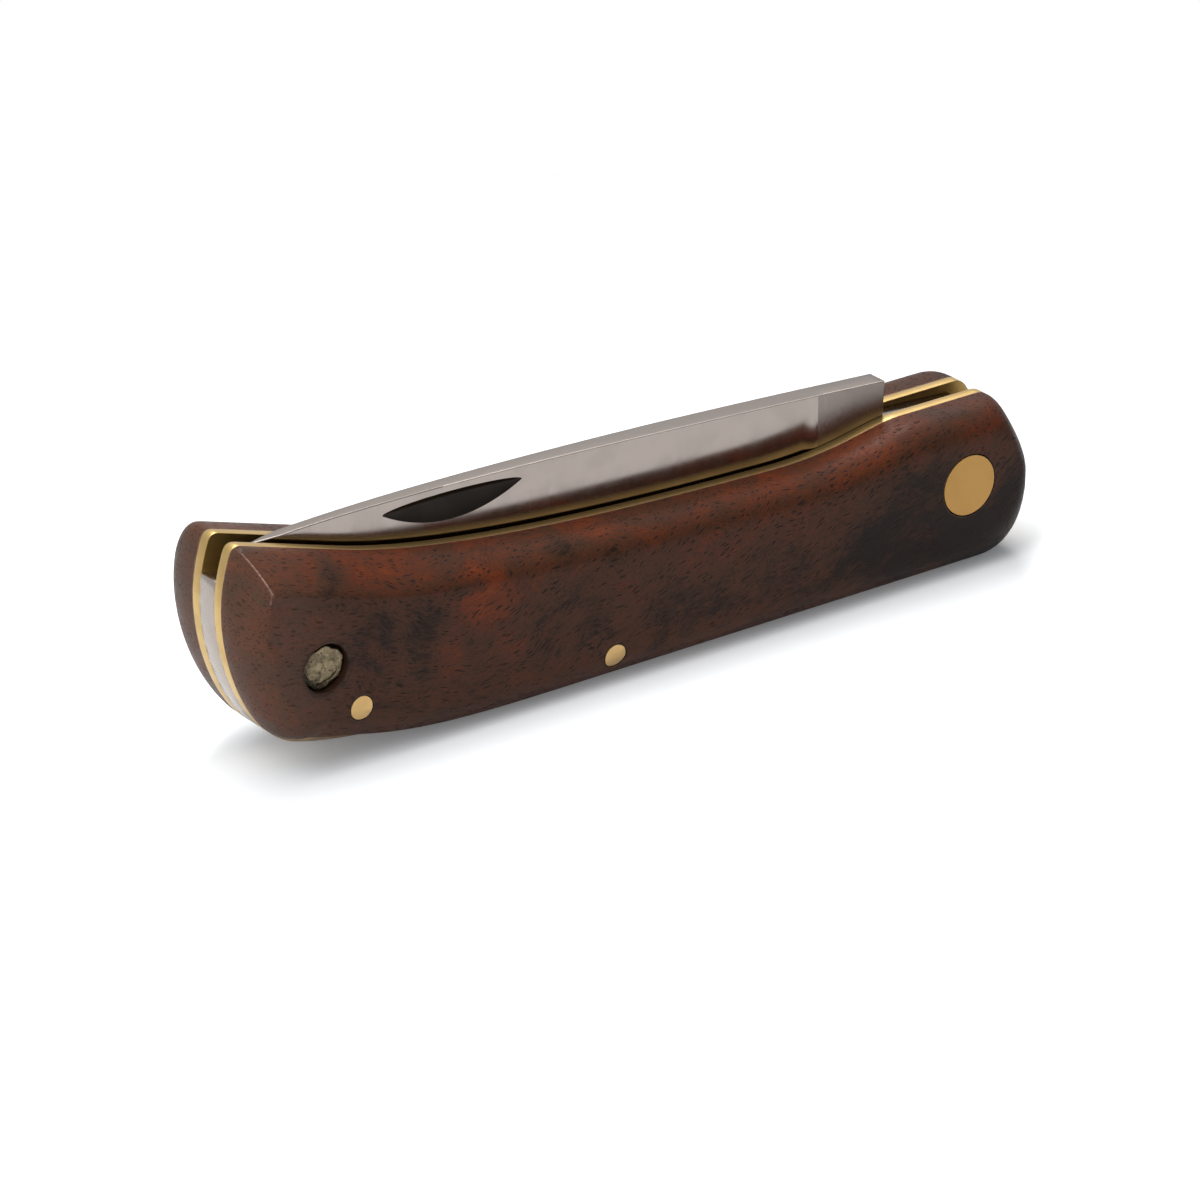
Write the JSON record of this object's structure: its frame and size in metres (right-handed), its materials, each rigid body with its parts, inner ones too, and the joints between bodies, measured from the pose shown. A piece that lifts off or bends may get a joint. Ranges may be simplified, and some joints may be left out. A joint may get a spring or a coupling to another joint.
{
  "type": "folding pocket knife",
  "caption": "Slip-joint folding knife: a nicked blade turns out of a wooden handle on brass liners and is held open or closed by a backspring.",
  "frame": {"origin": "under the middle of the closed handle, on the plane that its back rests on", "axes": "+X from the butt to the pivot end, +Y away from the side with the nail nick, +Z from the back to the open side of the handle"},
  "size_m": [0.097, 0.0148, 0.0246],
  "materials": {
    "scale_wood": "oiled, satin, reddish brown with dark streaks and pores",
    "liner_brass": "polished edges, satin faces",
    "rivet_brass": "sanded flush, satin",
    "spring_steel": "ground, satin",
    "rivet_steel": "hammered, dull",
    "blade_steel": "satin, ground across the blade"
  },
  "bodies": {
    "handle": {"front_scale": "scale_wood", "rear_scale": "scale_wood", "front_liner": "liner_brass", "rear_liner": "liner_brass", "backspring": "spring_steel", "pivot_rivet": "rivet_brass", "pivot_burr": "rivet_brass", "centre_pin": "rivet_brass", "rear_pin": "rivet_brass", "butt_rivet": "rivet_steel"},
    "blade": {"blade": "blade_steel"}
  },
  "joints": [
    {"name": "blade_pivot", "type": "hinge", "parent": "handle", "child": "blade", "pos_m": [0.0394, 0, 0.01005], "axis": [0, 1, 0], "range_deg": [0, 177], "deforming": ["backspring"]}
  ]
}
